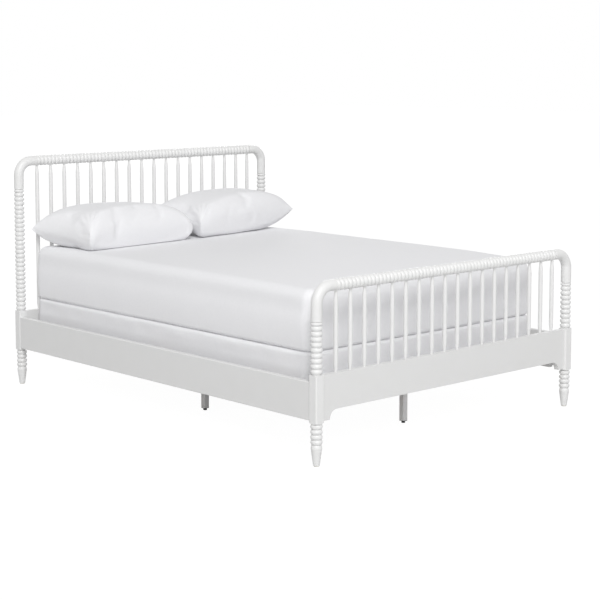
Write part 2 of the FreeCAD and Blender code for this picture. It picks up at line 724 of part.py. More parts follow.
def make_spindles(end, rail_height, end_place):
    """The mirrored pairs of spindles of one bed end, numbered from the middle outwards."""
    body = new_body(end + "_spindle")
    turning = new_sketch(body, "XZ")
    top = f"{rail_height} - ring_radius"
    outline(turning, [
        ("0", "panel_top - spindle_socket + socket_gap"),
        ("spindle_end_radius", "panel_top - spindle_socket + socket_gap"),
        ("spindle_end_radius", "panel_top"),
        ("spindle_radius", "panel_top + spindle_low_taper"),
        ("spindle_radius", f"{top} - spindle_high_taper"),
        ("spindle_end_radius", top),
        ("spindle_end_radius", f"{top} + spindle_socket - socket_gap"),
        ("0", f"{top} + spindle_socket - socket_gap"),
    ])
    revolve(body, turning)
    for pair in range(1, int(number("spindle_pairs")) + 1):
        steps = pair - 0.5
        group(f"{end}_spindle_pair_{pair}", body, [
            (f"- {steps} * spindle_pitch", end_place),
            (f"{steps} * spindle_pitch", end_place),
        ])


# ---------------------------------------------------------------- side rails and ledgers

def make_side_rail(label, turn):
    """The left rail as drawn, or the right one by half a turn about the bed's centre."""
    body = new_body(label)
    section = new_sketch(body, "XZ", "- side_rail_length / 2")
    edge = "rail_edge"
    outline(section, [
        ("- rail_face + rail_edge", "rail_bottom"),
        ("- rail_back - rail_edge", "rail_bottom", edge, 1),
        ("- rail_back", "rail_bottom + rail_edge"),
        ("- rail_back", "rail_top - rail_edge", edge, 1),
        ("- rail_back - rail_edge", "rail_top"),
        ("- rail_face + rail_edge", "rail_top", edge, 1),
        ("- rail_face", "rail_top - rail_edge"),
        ("- rail_face", "rail_bottom + rail_edge", edge, 1),
    ])
    pad(body, section, "side_rail_length")
    middle = "- rail_face + rail_thickness / 2"
    for offset, along_normal in (("- side_rail_length / 2", True), ("side_rail_length / 2", False)):
        seat = new_sketch(body, "XZ", offset)
        rectangle(seat, f"{middle} - plate_width / 2", f"{middle} + plate_width / 2",
                  "rail_centre - plate_height / 2", "rail_centre + plate_height / 2")
        pocket(body, seat, "plate_thickness", along_normal)
        pilots = new_sketch(body, "XZ", offset)
        circle(pilots, middle, "rail_centre - plate_screw_pitch / 2", "pilot_radius")
        circle(pilots, middle, "rail_centre + plate_screw_pitch / 2", "pilot_radius")
        pocket(body, pilots, "plate_screw + 1", along_normal)
    pilot = new_sketch(body, "YZ", "- rail_back")
    circle(pilot, "- ledger_screw_row / 2", "ledger_bottom + ledger_height / 2", "pilot_radius")
    first = pocket(body, pilot, "ledger_screw - ledger_width + 1")
    repeat(body, [first], "Y", "ledger_screw_row", "ledger_screws")
    place(body, turn=(UP, turn))
    return keep(body)


def make_ledger(label, turn):
    """The ledger inside a rail, with a row of screw holes."""
    body = new_body(label)
    section = new_sketch(body, "XZ", "- ledger_length / 2")
    rectangle(section, "- rail_back", "- rail_back + ledger_width", "ledger_bottom", "ledger_top")
    pad(body, section, "ledger_length")
    seat = new_sketch(body, "YZ", "- rail_back + ledger_width")
    circle(seat, "- ledger_screw_row / 2", "ledger_bottom + ledger_height / 2", "head_seat_radius")
    seats = pocket(body, seat, "sunk_head")
    hole = new_sketch(body, "YZ", "- rail_back + ledger_width")
    circle(hole, "- ledger_screw_row / 2", "ledger_bottom + ledger_height / 2", "pilot_radius")
    holes = pocket(body, hole, "ledger_width + 1")
    repeat(body, [seats, holes], "Y", "ledger_screw_row", "ledger_screws")
    slats = new_sketch(body, "XY", "ledger_top")
    for slat in ("- slat_spread", "0", "slat_spread"):
        circle(slats, "- slat_screw_place", slat, "pilot_radius")
    pocket(body, slats, "slat_screw - slat_thickness + 1")
    place(body, turn=(UP, turn))
    return keep(body)


# ---------------------------------------------------------------- screws and hook plates

def make_screw(label, length):
    """A wood screw that hangs down from its head's upper face."""
    body = new_body(label)
    turning = new_sketch(body, "XZ")
    outline(turning, [
        ("0", f"- {length}"),
        ("screw_radius", f"- {length} + 2 * screw_diameter"),
        ("screw_radius", "- head_height"),
        ("head_radius", "- head_height"),
        ("head_radius", "0"),
        ("0", "0"),
    ])
    revolve(body, turning)
    return body


def hook_polygon(sketch, low):
    """One hook beside the plate: its root, and the lip that hangs behind the post plate."""
    outline(sketch, [
        ("- plate_thickness / 2", low),
        ("plate_thickness + hook_play", low),
        ("plate_thickness + hook_play", f"{low} - hook_lip"),
        ("hook_reach", f"{low} - hook_lip"),
        ("hook_reach", f"{low} + hook_height"),
        ("- plate_thickness / 2", f"{low} + hook_height"),
    ])


def sunk_screw_holes(body, offset, along_normal):
    """Two screw holes with seats in a hook plate, cut from the face at the offset."""
    for radius, depth in (("head_seat_radius", "sunk_head"), ("pilot_radius", "plate_thickness + 1")):
        sketch = new_sketch(body, "XZ", offset)
        circle(sketch, "0", "- plate_screw_pitch / 2", radius)
        circle(sketch, "0", "plate_screw_pitch / 2", radius)
        pocket(body, sketch, depth, along_normal)


def make_rail_hook_plate():
    """Plate in the rail's end, hooks towards +Y; its outer face is at y = 0."""
    body = new_body("rail_hook_plate")
    plate = new_sketch(body, "XZ")
    rectangle(plate, "- plate_width / 2", "plate_width / 2", "- plate_height / 2", "plate_height / 2")
    pad(body, plate, "plate_thickness")
    hooks = new_sketch(body, "YZ", "- hook_thickness / 2")
    hook_polygon(hooks, "hook_pitch / 2 - hook_height / 2")
    hook_polygon(hooks, "- hook_pitch / 2 - hook_height / 2")
    pad(body, hooks, "hook_thickness")
    sunk_screw_holes(body, None, True)
    return body


def make_post_hook_plate():
    """Plate in the block, from y = 0 inwards, with a slot for each hook."""
    body = new_body("post_hook_plate")
    plate = new_sketch(body, "XZ", "- plate_thickness")
    rectangle(plate, "- plate_width / 2", "plate_width / 2", "- plate_height / 2", "plate_height / 2")
    pad(body, plate, "plate_thickness")
    slots = new_sketch(body, "XZ", "- plate_thickness - 1")
    for low in ("hook_pitch / 2 - hook_height / 2", "- hook_pitch / 2 - hook_height / 2"):
        rectangle(slots, "- hook_thickness / 2 - hook_play / 2", "hook_thickness / 2 + hook_play / 2",
                  low, f"{low} + hook_height + hook_lip + hook_play")
    pocket(body, slots, "plate_thickness + 2", along_normal=True)
    sunk_screw_holes(body, None, False)
    return body


# ---------------------------------------------------------------- slats, floor legs and feet

def make_slat(label, middle, legs):
    """A slat on both ledgers, with its end screws and pilot holes for its leg plates."""
    body = new_body(label)
    board = new_sketch(body, "XY", "ledger_top")
    rectangle(board, "- slat_half", "slat_half", "- slat_width / 2", "slat_width / 2")
    pad(body, board, "slat_thickness")
    for radius, depth in (("head_seat_radius", "sunk_head"), ("pilot_radius", "slat_thickness + 1")):
        ends = new_sketch(body, "XY", "slat_top")
        circle(ends, "- slat_screw_place", "0", radius)
        circle(ends, "slat_screw_place", "0", radius)
        pocket(body, ends, depth)
    pilots = new_sketch(body, "XY", "ledger_top")
    for leg in legs:
        circle(pilots, f"{leg} - leg_screw_pitch / 2", "0", "pilot_radius")
        circle(pilots, f"{leg} + leg_screw_pitch / 2", "0", "pilot_radius")
    pocket(body, pilots, "leg_screw - leg_plate_thickness", along_normal=True)
    place(body, "0", middle, "0")
    return keep(body)


def make_floor_leg(label, where):
    """A square tube with a screw plate on top."""
    body = new_body(label)
    wall = new_sketch(body, "XY", "tube_bottom")
    rounded_square(wall, "tube_half", "tube_corner")
    rounded_square(wall, "tube_inside", "tube_inner_corner")
    pad(body, wall, "tube_length")
    plate = new_sketch(body, "XY", "ledger_top - leg_plate_thickness")
    rectangle(plate, "- leg_plate_length / 2", "leg_plate_length / 2", "- tube_half", "tube_half")
    pad(body, plate, "leg_plate_thickness")
    holes = new_sketch(body, "XY", "ledger_top")
    circle(holes, "- leg_screw_pitch / 2", "0", "pilot_radius")
    circle(holes, "leg_screw_pitch / 2", "0", "pilot_radius")
    pocket(body, holes, "leg_plate_thickness + 1")
    place(body, *where)
    return keep(body)


def make_insert():
    """The plastic insert that closes a tube and holds the stem."""
    body = new_body("leg_insert")
    plug = new_sketch(body, "XY", "tube_bottom")
    rounded_square(plug, "insert_half", "tube_inner_corner")
    pad(body, plug, "insert_depth")
    rim = new_sketch(body, "XY", "leveller_rise")
    rounded_square(rim, "tube_half", "tube_corner")
    pad(body, rim, "insert_flange")
    bore = new_sketch(body, "XY", "leveller_rise")
    circle(bore, "0", "0", "stem_radius + stem_gap")
    pocket(body, bore, "insert_flange + insert_depth", along_normal=True)
    return body


def make_levelling_foot(label, where):
    """A round pad on a screw stem."""
    body = new_body(label)
    turning = new_sketch(body, "XZ")
    outline(turning, [
        ("0", "0"),
        ("leveller_radius - 1", "0"),
        ("leveller_radius", "1"),
        ("leveller_radius", "leveller_pad - 1"),
        ("leveller_radius - 1", "leveller_pad"),
        ("stem_radius", "leveller_pad"),
        ("stem_radius", "stem_length"),
        ("0", "stem_length"),
    ])
    revolve(body, turning)
    place(body, *where)
    return keep(body)


# ---------------------------------------------------------------- bedding

def make_slab(label, bottom, height, corner, edge):
    """Box spring or mattress: a block with round upright corners and soft long edges."""
    body = new_body(label)
    plan = new_sketch(body, "XY", bottom)
    wide, deep = "bedding_half_width", "bedding_half_length"
    outline(plan, [
        (f"- {wide} + {corner}", f"- {deep}"), (f"{wide} - {corner}", f"- {deep}", corner, 1),
        (wide, f"- {deep} + {corner}"), (wide, f"{deep} - {corner}", corner, 1),
        (f"{wide} - {corner}", deep), (f"- {wide} + {corner}", deep, corner, 1),
        (f"- {wide}", f"{deep} - {corner}"), (f"- {wide}", f"- {deep} + {corner}", corner, 1),
    ])
    pad(body, plan, height)
    ease(body, edge, level)
    place(body, "- bedding_shift", "bedding_middle", "0")
    return keep(body)


# A pillow's sections from its middle to its end: place along the half length, width, and how
# full it is. The sides draw in between the corners, and the ends are a thin seam.
PILLOW_SECTIONS = (
    (0.00, 0.95, 1.00),
    (0.32, 0.95, 0.95),
    (0.60, 0.96, 0.80),
    (0.82, 0.98, 0.52),
    (0.95, 1.00, 0.20),
    (1.00, 1.00, 0.04),
)


def pillow_arc(width_share, fullness, side_share):
    """Radius of the arc over a chord: the chord squared over 8 rises, and half the rise."""
    chord = f"pillow_width * pillow_width * {width_share * width_share / 8 / fullness:.6f}"
    rise = f"pillow_height * {side_share} * {fullness / 2:.4f}"
    return f"{chord} / pillow_height / {side_share} + {rise}"


def make_pillow(label, where):
    body = new_body(label)
    sections = []
    mirrored = [(-far, width, full) for far, width, full in reversed(PILLOW_SECTIONS[1:])]
    for far, width, full in mirrored + list(PILLOW_SECTIONS):
        sketch = new_sketch(body, "YZ", f"{far} * pillow_length / 2")
        half = f"{width / 2:.4f} * pillow_width"
        outline(sketch, [
            (f"- {half}", "0", pillow_arc(width, full, "pillow_under_share"), 1),
            (half, "0", pillow_arc(width, full, "pillow_top_share"), 1),
        ])
        sections.append(sketch)
    loft = body.newObject("PartDesign::AdditiveLoft", label + "_loft")
    loft.Profile = sections[0]
    loft.Sections = sections[1:]
    place(body, *where)
    return keep(body)


# ---------------------------------------------------------------- small templates

def make_dowel():
    """A wooden dowel, its middle at the origin."""
    body = new_body("elbow_dowel")
    turning = new_sketch(body, "XZ")
    outline(turning, [
        ("0", "- dowel_length / 2"),
        ("dowel_radius - 1", "- dowel_length / 2"),
        ("dowel_radius", "- dowel_length / 2 + 1"),
        ("dowel_radius", "dowel_length / 2 - 1"),
        ("dowel_radius - 1", "dowel_length / 2"),
        ("0", "dowel_length / 2"),
    ])
    revolve(body, turning)
    return body


def make_glide():
    """A nylon glide with its nail, standing on the floor."""
    body = new_body("foot_glide")
    turning = new_sketch(body, "XZ")
    outline(turning, [
        ("0", "0"),
        ("glide_radius - 1", "0"),
        ("glide_radius", "1"),
        ("glide_radius", "glide_thickness"),
        ("nail_radius", "glide_thickness"),
        ("nail_radius", "glide_thickness + nail_length"),
        ("0", "glide_thickness + nail_length"),
    ])
    revolve(body, turning)
    return body


# ---------------------------------------------------------------- the two bed ends

HALF_TURN = (UP, 180)
SIDES = (("left", "- half_width", 1), ("right", "half_width", -1))
BED_ENDS = (
    ("headboard", "half_length", "head_post_top", "head_ring_length", "head_rail_height", 1),
    ("footboard", "- half_length", "foot_post_top", "foot_ring_length", "foot_rail_height", -1),
)

dowel_places, glide_places = [], []
for end, end_place, post_top, ring_length, rail_height, direction in BED_ENDS:
    for side, side_place, facing in SIDES:
        make_post(f"{end}_{side}_post", post_top, ring_length, facing * direction,
                  (side_place, end_place, "0", HALF_TURN if direction < 0 else None))
        make_elbow(f"{end}_{side}_elbow",
                   (side_place, end_place, post_top, HALF_TURN if facing < 0 else None))
        inwards = "+" if facing > 0 else "-"
        dowel_places.append((side_place, end_place, post_top))
        dowel_places.append(
            (f"{side_place} {inwards} elbow_reach", end_place, rail_height, (ALONG, 90)))
        glide_places.append((side_place, end_place))
    make_top_rail(f"{end}_top_rail", rail_height, end_place)
    make_panel(f"{end}_panel", ("0", end_place))
    make_spindles(end, rail_height, end_place)
group("elbow_dowels", make_dowel(), dowel_places)
group("foot_glides", make_glide(), glide_places)

# ---------------------------------------------------------------- the side rails

for side, turn in (("left", 0), ("right", 180)):
    make_side_rail(f"{side}_side_rail", turn)
    make_ledger(f"{side}_ledger", turn)

hook_places = [
    (x_rule, y_rule, "rail_centre", turned)
    for x_rule in ("- half_width - rail_offset", "half_width + rail_offset")
    for y_rule, turned in (("half_length - half_block", None), ("- half_length + half_block", HALF_TURN))
]
group("rail_hook_plates", make_rail_hook_plate(), hook_places)
group("post_hook_plates", make_post_hook_plate(), hook_places)

plate_screw_places = []
for x_rule, y_rule, height, turned in hook_places:
    for step in ("+", "-"):
        screw_height = f"{height} {step} plate_screw_pitch / 2"
        plate_screw_places.append((x_rule, f"{y_rule} + head_sink", screw_height, (ACROSS, 90)))
        plate_screw_places.append((x_rule, f"{y_rule} - head_sink", screw_height, (ACROSS, -90)))
group("hook_plate_screws", make_screw("hook_plate_screw", "plate_screw"), plate_screw_places)

ledger_middle = "ledger_bottom + ledger_height / 2"
ledger_screw_places = []
for index in range(int(number("ledger_screws"))):
    along = f"{index} * ledger_screw_pitch - ledger_screw_row / 2"
    ledger_screw_places += [
        ("- rail_back + ledger_width - head_sink", along, ledger_middle, (ALONG, 90)),
        ("rail_back - ledger_width + head_sink", along, ledger_middle, (ALONG, -90)),
    ]
group("ledger_screws", make_screw("ledger_screw_piece", "ledger_screw"), ledger_screw_places)

# ---------------------------------------------------------------- slats and floor legs

SLATS = (
    ("foot", "- slat_spread", ("0",)),
    ("middle", "0", ("- middle_leg_spread", "middle_leg_spread")),
    ("head", "slat_spread", ("0",)),
)
LEG_PLACES = (
    ("foot", "0", "- slat_spread"),
    ("middle_left", "- middle_leg_spread", "0"),
    ("middle_right", "middle_leg_spread", "0"),
    ("head", "0", "slat_spread"),
)
slat_screw_places, leg_screw_places = [], []
for name, along, legs in SLATS:
    make_slat(f"{name}_slat", along, legs)
    for side_rule in ("- slat_screw_place", "slat_screw_place"):
        slat_screw_places.append((side_rule, along, "slat_top - head_sink"))
under_plate = "ledger_top - leg_plate_thickness - head_height"
for name, across, along in LEG_PLACES:
    make_floor_leg(f"{name}_floor_leg", (across, along))
    make_levelling_foot(f"{name}_levelling_foot", (across, along))
    for step in ("+", "-"):
        leg_screw_places.append(
            (f"{across} {step} leg_screw_pitch / 2", along, under_plate, (ACROSS, 180)))
group("leg_inserts", make_insert(), [(across, along) for name, across, along in LEG_PLACES])
group("slat_screws", make_screw("slat_screw_piece", "slat_screw"), slat_screw_places)
group("leg_screws", make_screw("leg_screw_piece", "leg_screw"), leg_screw_places)

# ---------------------------------------------------------------- bedding

make_slab("box_spring", "box_spring_bottom", "box_spring_height", "box_spring_corner", "box_spring_edge")
make_slab("mattress", "mattress_bottom", "mattress_height", "mattress_corner", "mattress_edge")
askew = (UP, number("pillow_turn"))
make_pillow("left_pillow", ("- pillow_spread", "pillow_middle", "pillow_seam", askew))
make_pillow("right_pillow", ("pillow_spread", "pillow_middle", "pillow_seam", askew))

# ---------------------------------------------------------------- checked and written

doc.recompute()
failed = [item.Label for item in doc.Objects if {"Invalid", "Error"} & set(item.State)]
failed += [item.Label for item in kept if item.Shape.isNull() or not item.Shape.isValid()]
if failed:
    raise SystemExit("These pieces did not build: " + ", ".join(failed))

os.makedirs("parts", exist_ok=True)
for item in kept:
    item.Shape.exportStep(f"parts/{item.Label}.step")
print(len(kept), "pieces written")
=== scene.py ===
import math

import bmesh
import bpy
from mathutils import Euler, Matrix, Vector, noise


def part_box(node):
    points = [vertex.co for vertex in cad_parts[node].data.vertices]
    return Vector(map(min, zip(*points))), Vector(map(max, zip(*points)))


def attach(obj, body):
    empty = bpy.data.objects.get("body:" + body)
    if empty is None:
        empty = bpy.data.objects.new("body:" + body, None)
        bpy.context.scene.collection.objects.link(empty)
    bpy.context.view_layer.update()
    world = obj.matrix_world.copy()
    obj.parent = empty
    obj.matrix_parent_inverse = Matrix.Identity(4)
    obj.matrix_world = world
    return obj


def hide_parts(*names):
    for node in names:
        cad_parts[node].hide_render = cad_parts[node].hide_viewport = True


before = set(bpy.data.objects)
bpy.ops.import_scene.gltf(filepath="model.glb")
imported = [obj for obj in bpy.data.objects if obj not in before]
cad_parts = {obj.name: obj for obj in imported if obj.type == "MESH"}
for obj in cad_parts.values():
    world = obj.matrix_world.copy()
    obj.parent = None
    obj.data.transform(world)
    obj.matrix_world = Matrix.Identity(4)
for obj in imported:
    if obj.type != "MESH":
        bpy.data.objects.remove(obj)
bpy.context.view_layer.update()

# --------------------------------------------------- the photographer's place
# The bed is seen from its foot end and its left, from standing height and about seven metres off,
# through a long lens.

camera_data = bpy.data.cameras.new("camera")
camera_data.sensor_width = 36
camera_data.lens = 92.92
camera_data.shift_y = -0.15
camera = bpy.data.objects.new("camera", camera_data)
bpy.context.scene.collection.objects.link(camera)
camera.location = (-4.5379, -5.0320, 1.4885)
DOWNWARD_TILT, TURN_FROM_Y_AXIS = math.radians(5.605), math.radians(-42.643)
camera.rotation_euler = Euler((math.pi / 2 - DOWNWARD_TILT, 0, TURN_FROM_Y_AXIS))
bpy.context.scene.camera = camera

# --------------------------------------------------- posts, elbows, top rails and spindles
# Turned and sawn hardwood, rubberwood or poplar, sanded and sprayed with a white satin lacquer.
# The coat closes the pores, so only long faint grain lines and the spray's fine texture show
# through it, and the lathe's marks where a piece was turned.


def linear(hex_colour):
    """An sRGB hex colour as the linear RGBA that shaders take."""
    channels = [int(hex_colour[place:place + 2], 16) / 255 for place in (1, 3, 5)]
    return [c / 12.92 if c <= 0.04045 else ((c + 0.055) / 1.055) ** 2.4 for c in channels] + [1.0]


def add_node(tree, kind, inputs=None, **settings):
    """Adds a node with its settings; each input takes a value, or another node's output."""
    node = tree.nodes.new(kind)
    for name, value in settings.items():
        setattr(node, name, value)
    for socket, value in (inputs or {}).items():
        if isinstance(value, bpy.types.NodeSocket):
            tree.links.new(value, node.inputs[socket])
        else:
            node.inputs[socket].default_value = value
    return node


def new_material(name):
    """An empty material: its node tree, and its output node."""
    material = bpy.data.materials.new(name)
    material.use_nodes = True
    material.node_tree.nodes.clear()
    return material, material.node_tree, add_node(material.node_tree, "ShaderNodeOutputMaterial")


def satin_lacquer_on_hardwood(name, grain_axis, turned):
    """White satin lacquer: two near whites, faint grain along one axis, spray texture, gloss."""
    material, tree, output = new_material(name)
    place = add_node(tree, "ShaderNodeTexCoord").outputs["Object"]
    # Grain lines about 4 mm apart and 120 mm long; real ones are 1 mm apart, too fine to show.
    grain_spacing, grain_length = 0.004, 0.12
    stretch = [1.0, 1.0, 1.0]
    stretch[grain_axis] = grain_spacing / grain_length
    along = add_node(tree, "ShaderNodeMapping", {"Vector": place, "Scale": stretch})
    grain = add_node(tree, "ShaderNodeTexNoise", {
        "Vector": along.outputs["Vector"], "Scale": 1 / grain_spacing, "Detail": 3.0,
        "Roughness": 0.55})
    # The coat's thickness wanders over hand-widths. Turned pieces get a whiter pair than boards:
    # painted light for the brighter light and highlights that round turnings catch, and painted
    # shade on the flat boards.
    whites = ("#E7E7E6", "#EAEAEA") if turned else ("#E2E2E1", "#E5E5E5")
    hand_width = 0.09
    patches = add_node(tree, "ShaderNodeTexNoise", {
        "Vector": place, "Scale": 1 / hand_width, "Detail": 2.0})
    shade = add_node(tree, "ShaderNodeMixRGB", {
        "Fac": patches.outputs["Fac"], "Color1": linear(whites[0]), "Color2": linear(whites[1])})
    # Spray texture of a rolling 3 mm, and lathe rings 3 mm apart round a turned piece. Both are
    # drawn coarser than the real ones, which are too fine to show.
    spray_width = lathe_pitch = 0.003
    spray = add_node(tree, "ShaderNodeTexNoise", {
        "Vector": place, "Scale": 1 / spray_width, "Detail": 1.0})
    height = add_node(tree, "ShaderNodeMath", {
        0: grain.outputs["Fac"], 1: spray.outputs["Fac"]}, operation="ADD")
    if turned:
        # A lathe mark runs on round the piece, fifty times as far as it is wide.
        squeeze = [1 / 50, 1 / 50, 1 / 50]
        squeeze[grain_axis] = 1.0
        round_it = add_node(tree, "ShaderNodeMapping", {"Vector": place, "Scale": squeeze})
        lathe = add_node(tree, "ShaderNodeTexNoise", {
            "Vector": round_it.outputs["Vector"], "Scale": 1 / lathe_pitch, "Detail": 2.0})
        height = add_node(tree, "ShaderNodeMath", {
            0: height.outputs["Value"], 1: lathe.outputs["Fac"]}, operation="ADD")
    relief = add_node(tree, "ShaderNodeBump", {
        "Height": height.outputs["Value"], "Strength": 0.3, "Distance": 0.00006})
    gloss = add_node(tree, "ShaderNodeMapRange", {
        "Value": grain.outputs["Fac"], "To Min": 0.32, "To Max": 0.42})
    shader = add_node(tree, "ShaderNodeBsdfPrincipled", {
        "Base Color": shade.outputs["Color"], "Roughness": gloss.outputs["Result"],
        "IOR": 1.49, "Normal": relief.outputs["Normal"]})
    tree.links.new(shader.outputs["BSDF"], output.inputs["Surface"])
    return material


def finish_nodes(material, names):
    """Gives carried-over pieces their finish."""
    for name in names:
        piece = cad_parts[name]
        for slot in range(len(piece.material_slots)):
            piece.material_slots[slot].material = material


BED_ENDS = ("headboard", "footboard")
SIDES = ("left", "right")
upright_turnings = satin_lacquer_on_hardwood("satin_lacquer_upright_turning", 2, True)
crossing_turnings = satin_lacquer_on_hardwood("satin_lacquer_rail_turning", 0, True)
finish_nodes(upright_turnings, [f"{end}_{side}_post" for end in BED_ENDS for side in SIDES])
finish_nodes(upright_turnings, [f"{end}_{side}_elbow" for end in BED_ENDS for side in SIDES])
finish_nodes(upright_turnings, [
    f"{end}_spindle_pair_{pair}" for end in BED_ENDS for pair in range(1, 10)])
finish_nodes(crossing_turnings, [f"{end}_top_rail" for end in BED_ENDS])

# --------------------------------------------------- panels, side rails and ledgers
# Sawn hardwood boards with eased edges, in the same lacquer; their grain runs along their length.
# The panels are let into the posts' blocks and the side rails hook into the posts. A ledger is
# screwed along the inside of each side rail, and carries the slats.

finish_nodes(satin_lacquer_on_hardwood("satin_lacquer_panel", 0, False),
             [f"{end}_panel" for end in BED_ENDS])
finish_nodes(satin_lacquer_on_hardwood("satin_lacquer_side_rail", 1, False),
             [f"{side}_{board}" for side in SIDES for board in ("side_rail", "ledger")])

# --------------------------------------------------- slats and dowels
# Planed pine left bare. Three slats are screwed across the ledgers and carry the box spring, and
# dowels are glued inside the elbow joints.


def planed_pine(name, grain_axis):
    """Bare pine: pale yellow early wood, and darker late-wood lines that stand up a little."""
    material, tree, output = new_material(name)
    place = add_node(tree, "ShaderNodeTexCoord").outputs["Object"]
    # Late-wood lines about 4 mm apart and 100 mm long.
    line_spacing, line_length = 0.004, 0.10
    stretch = [1.0, 1.0, 1.0]
    stretch[grain_axis] = line_spacing / line_length
    along = add_node(tree, "ShaderNodeMapping", {"Vector": place, "Scale": stretch})
    lines = add_node(tree, "ShaderNodeTexNoise", {
        "Vector": along.outputs["Vector"], "Scale": 1 / line_spacing, "Detail": 4.0,
        "Roughness": 0.6})
    wood = add_node(tree, "ShaderNodeValToRGB", {"Fac": lines.outputs["Fac"]})
    late_wood, early_wood = wood.color_ramp.elements
    late_wood.position, late_wood.color = 0.35, linear("#B98F5C")
    early_wood.position, early_wood.color = 0.65, linear("#E0C79B")
    relief = add_node(tree, "ShaderNodeBump", {
        "Height": lines.outputs["Fac"], "Strength": 0.4, "Distance": 0.0002})
    shader = add_node(tree, "ShaderNodeBsdfPrincipled", {
        "Base Color": wood.outputs["Color"], "Roughness": 0.62, "Normal": relief.outputs["Normal"]})
    tree.links.new(shader.outputs["BSDF"], output.inputs["Surface"])
    return material


finish_nodes(planed_pine("planed_pine_slat", 0),
             ["foot_slat", "middle_slat", "head_slat", "elbow_dowels"])

# --------------------------------------------------- floor legs
# Square steel tube with a welded plate that is screwed under a slat. The powder coat is a light
# grey and leaves a fine orange peel, with an even, half-dull shine. Its colour is drawn near white,
# lighter than the coat, as painted light for the bounce that reaches the legs under the bed.

steel_coat, tree, output = new_material("grey_powder_coat_on_steel")
place = add_node(tree, "ShaderNodeTexCoord").outputs["Object"]
PEEL_WIDTH, CLOUD_WIDTH = 0.0015, 0.03
peel = add_node(tree, "ShaderNodeTexNoise", {
    "Vector": place, "Scale": 1 / PEEL_WIDTH, "Detail": 1.0})
cloud = add_node(tree, "ShaderNodeTexNoise", {
    "Vector": place, "Scale": 1 / CLOUD_WIDTH, "Detail": 2.0})
# Both tones are near white, brighter than the grey coat: painted light for the bounce light under
# the bed.
grey = add_node(tree, "ShaderNodeMixRGB", {
    "Fac": cloud.outputs["Fac"], "Color1": linear("#F0F0F0"), "Color2": linear("#F4F4F4")})
relief = add_node(tree, "ShaderNodeBump", {
    "Height": peel.outputs["Fac"], "Strength": 0.4, "Distance": 0.0001})
shader = add_node(tree, "ShaderNodeBsdfPrincipled", {
    "Base Color": grey.outputs["Color"], "Roughness": 0.45, "Normal": relief.outputs["Normal"]})
tree.links.new(shader.outputs["BSDF"], output.inputs["Surface"])
LEGS = ("foot", "middle_left", "middle_right", "head")
finish_nodes(steel_coat, [f"{leg}_floor_leg" for leg in LEGS])

# --------------------------------------------------- inserts and levelling feet
# An insert is pressed into the lower end of each tube, and a levelling foot is threaded into it.
# Both are moulded black polypropylene, dull, with the fine sandy texture of its mould.

moulded_black, tree, output = new_material("moulded_black_polypropylene")
place = add_node(tree, "ShaderNodeTexCoord").outputs["Object"]
SAND_WIDTH = 0.0008
sand = add_node(tree, "ShaderNodeTexNoise", {
    "Vector": place, "Scale": 1 / SAND_WIDTH, "Detail": 2.0})
relief = add_node(tree, "ShaderNodeBump", {
    "Height": sand.outputs["Fac"], "Strength": 0.3, "Distance": 0.0001})
tone = add_node(tree, "ShaderNodeMixRGB", {
    "Fac": sand.outputs["Fac"], "Color1": linear("#3C3C3D"), "Color2": linear("#4A4A4B")})
shader = add_node(tree, "ShaderNodeBsdfPrincipled", {
    "Base Color": tone.outputs["Color"], "Roughness": 0.5, "Normal": relief.outputs["Normal"]})
tree.links.new(shader.outputs["BSDF"], output.inputs["Surface"])
finish_nodes(moulded_black, ["leg_inserts"] + [f"{leg}_levelling_foot" for leg in LEGS])

# --------------------------------------------------- glides under the posts
# A round disc of moulded natural nylon is nailed into the end of each wooden leg. It is milky
# white with a waxy shine, and clouded where the melt flowed together.

nylon, tree, output = new_material("moulded_natural_nylon")
place = add_node(tree, "ShaderNodeTexCoord").outputs["Object"]
FLOW_WIDTH = 0.006
flow = add_node(tree, "ShaderNodeTexNoise", {
    "Vector": place, "Scale": 1 / FLOW_WIDTH, "Detail": 2.0})
tone = add_node(tree, "ShaderNodeMixRGB", {
    "Fac": flow.outputs["Fac"], "Color1": linear("#DEDBD2"), "Color2": linear("#E8E6DF")})
shader = add_node(tree, "ShaderNodeBsdfPrincipled", {
    "Base Color": tone.outputs["Color"], "Roughness": 0.4, "IOR": 1.53})
tree.links.new(shader.outputs["BSDF"], output.inputs["Surface"])
finish_nodes(nylon, ["foot_glides"])

# --------------------------------------------------- hook plates and screws
# Hook plates pressed from sheet sit in the ends of the side rails and hang in slotted plates in
# the posts. They and all the screws are steel with a bright zinc plate, a clouded silver grey.

zinc, tree, output = new_material("bright_zinc_on_steel")
place = add_node(tree, "ShaderNodeTexCoord").outputs["Object"]
PATCH_WIDTH = 0.004
cloud = add_node(tree, "ShaderNodeTexNoise", {
    "Vector": place, "Scale": 1 / PATCH_WIDTH, "Detail": 3.0})
tone = add_node(tree, "ShaderNodeMixRGB", {
    "Fac": cloud.outputs["Fac"], "Color1": linear("#B9BDC2"), "Color2": linear("#D3D6D9")})
gloss = add_node(tree, "ShaderNodeMapRange", {
    "Value": cloud.outputs["Fac"], "To Min": 0.28, "To Max": 0.42})
shader = add_node(tree, "ShaderNodeBsdfPrincipled", {
    "Base Color": tone.outputs["Color"], "Metallic": 1.0, "Roughness": gloss.outputs["Result"]})
tree.links.new(shader.outputs["BSDF"], output.inputs["Surface"])
finish_nodes(zinc, ["rail_hook_plates", "post_hook_plates", "hook_plate_screws",
                    "ledger_screws", "slat_screws", "leg_screws"])

# --------------------------------------------------- box spring
# A sprung base in a white woven cover, drawn tight over its frame. The cover is slack along the
# top edge, where it ripples softly.


